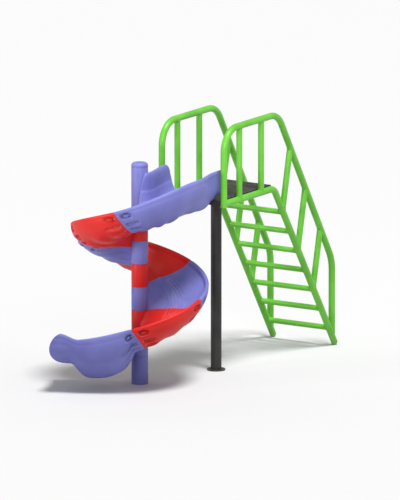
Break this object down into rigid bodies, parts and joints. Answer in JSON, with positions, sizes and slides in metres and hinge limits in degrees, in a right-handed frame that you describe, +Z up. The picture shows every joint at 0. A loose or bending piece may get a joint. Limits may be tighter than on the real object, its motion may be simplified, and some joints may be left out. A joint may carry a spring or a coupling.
{
  "type": "spiral playground slide",
  "caption": "Free-standing spiral slide: moulded helical chute stacked round a column, with a deck on one post and a tube-framed rung stair.",
  "frame": {"origin": "on the ground at the axis of the chute's column", "axes": "+Z up, +Y the way the stair descends away from the chute, +X along the rungs"},
  "size_m": [1.1622, 2.9327, 2.1095],
  "materials": {
    "purple_moulding": "satin rotationally moulded polyethylene",
    "red_moulding": "satin rotationally moulded polyethylene",
    "green_coating": "satin powder coat on steel tube",
    "black_coating": "matt powder coat on steel",
    "galvanised_tube": "hot-dip galvanised",
    "zinc_fastener": "zinc plated"
  },
  "bodies": {
    "root": {"chute_entry": "purple_moulding", "chute_turn_1": "red_moulding", "chute_turn_2": "purple_moulding", "chute_turn_3": "red_moulding", "chute_turn_4": "purple_moulding", "chute_turn_5": "red_moulding", "chute_exit": "purple_moulding", "column_core": "galvanised_tube", "column_sleeve": "purple_moulding", "column_cap": "purple_moulding", "joint_bolts": "zinc_fastener", "joint_nuts": "zinc_fastener", "deck_plate": "black_coating", "deck_bearers": "black_coating", "deck_post": "black_coating", "post_head_plate": "black_coating", "post_base_flange": "black_coating", "side_frame_bolts": "zinc_fastener", "entry_bolts": "zinc_fastener", "handrail_left": "green_coating", "handrail_right": "green_coating", "stringer_left": "green_coating", "stringer_right": "green_coating", "deck_baluster_left_1": "green_coating", "deck_baluster_left_2": "green_coating", "deck_baluster_right_1": "green_coating", "deck_baluster_right_2": "green_coating", "stair_baluster_left_1": "green_coating", "stair_baluster_left_2": "green_coating", "stair_baluster_left_3": "green_coating", "stair_baluster_right_1": "green_coating", "stair_baluster_right_2": "green_coating", "stair_baluster_right_3": "green_coating", "rung_1": "green_coating", "rung_2": "green_coating", "rung_3": "green_coating", "rung_4": "green_coating", "rung_5": "green_coating", "rung_6": "green_coating", "rung_7": "green_coating", "foot_plug_left": "green_coating", "foot_plug_right": "green_coating"}
  },
  "joints": []
}
